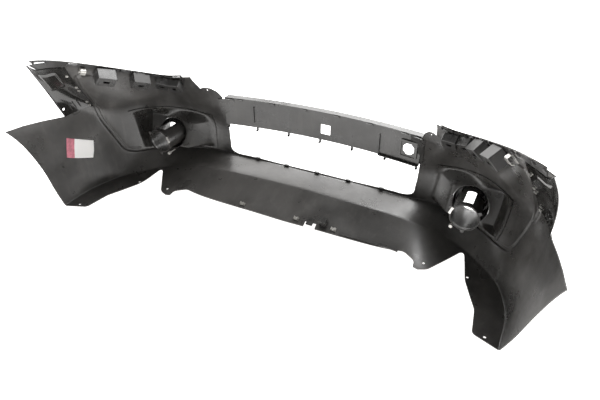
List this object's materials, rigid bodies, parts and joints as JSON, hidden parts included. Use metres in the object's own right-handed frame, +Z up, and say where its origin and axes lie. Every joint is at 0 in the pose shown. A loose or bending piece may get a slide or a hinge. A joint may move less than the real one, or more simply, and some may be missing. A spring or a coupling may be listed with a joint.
{
  "type": "bumper cover",
  "caption": "Front bumper cover of a sport-utility vehicle with grille crossbar, fog-lamp pockets, headlamp retainers and fender brackets.",
  "frame": {"origin": "on the symmetry plane, at floor level, under the middle of the cover's length", "axes": "+Z up, the front of the vehicle at -Y, the vehicle's left side at +X"},
  "size_m": [1.8042, 0.698, 0.5683],
  "materials": {
    "moulded_skin": "semi-gloss, inside face scuffed",
    "grille_plastic": "semi-gloss",
    "retainer_plastic": "satin",
    "pocket_plastic": "satin",
    "bracket_plastic": "glossy black",
    "zinc_steel": "zinc plated",
    "label_paper": "plain white paper label"
  },
  "bodies": {
    "root": {"bracket_screws_left": "zinc_steel", "bracket_screws_right": "zinc_steel", "fascia": "moulded_skin", "fog_adjuster_left": "zinc_steel", "fog_adjuster_right": "zinc_steel", "fog_bezel_left": "pocket_plastic", "fog_bezel_right": "pocket_plastic", "fog_bucket_left": "pocket_plastic", "fog_bucket_right": "pocket_plastic", "fog_spring_left": "zinc_steel", "fog_spring_right": "zinc_steel", "grille_crossbar": "grille_plastic", "grille_hooks": "grille_plastic", "grille_top_tabs": "grille_plastic", "headlamp_retainer_left": "retainer_plastic", "headlamp_retainer_right": "retainer_plastic", "label": "label_paper", "lamp_guide_1_left": "retainer_plastic", "lamp_guide_1_right": "retainer_plastic", "lamp_guide_2_left": "retainer_plastic", "lamp_guide_2_right": "retainer_plastic", "lamp_guide_3_left": "retainer_plastic", "lamp_guide_3_right": "retainer_plastic", "lamp_guide_4_left": "retainer_plastic", "lamp_guide_4_right": "retainer_plastic", "ledge_spring_clip_left": "zinc_steel", "ledge_spring_clip_right": "zinc_steel", "lower_grille_clips": "grille_plastic", "side_bracket_left": "bracket_plastic", "side_bracket_right": "bracket_plastic", "skirt_clips": "zinc_steel", "skirt_duct_post": "grille_plastic", "skirt_lock_tab": "grille_plastic", "skirt_rail": "grille_plastic", "tow_eye_frame": "grille_plastic"}
  },
  "joints": []
}
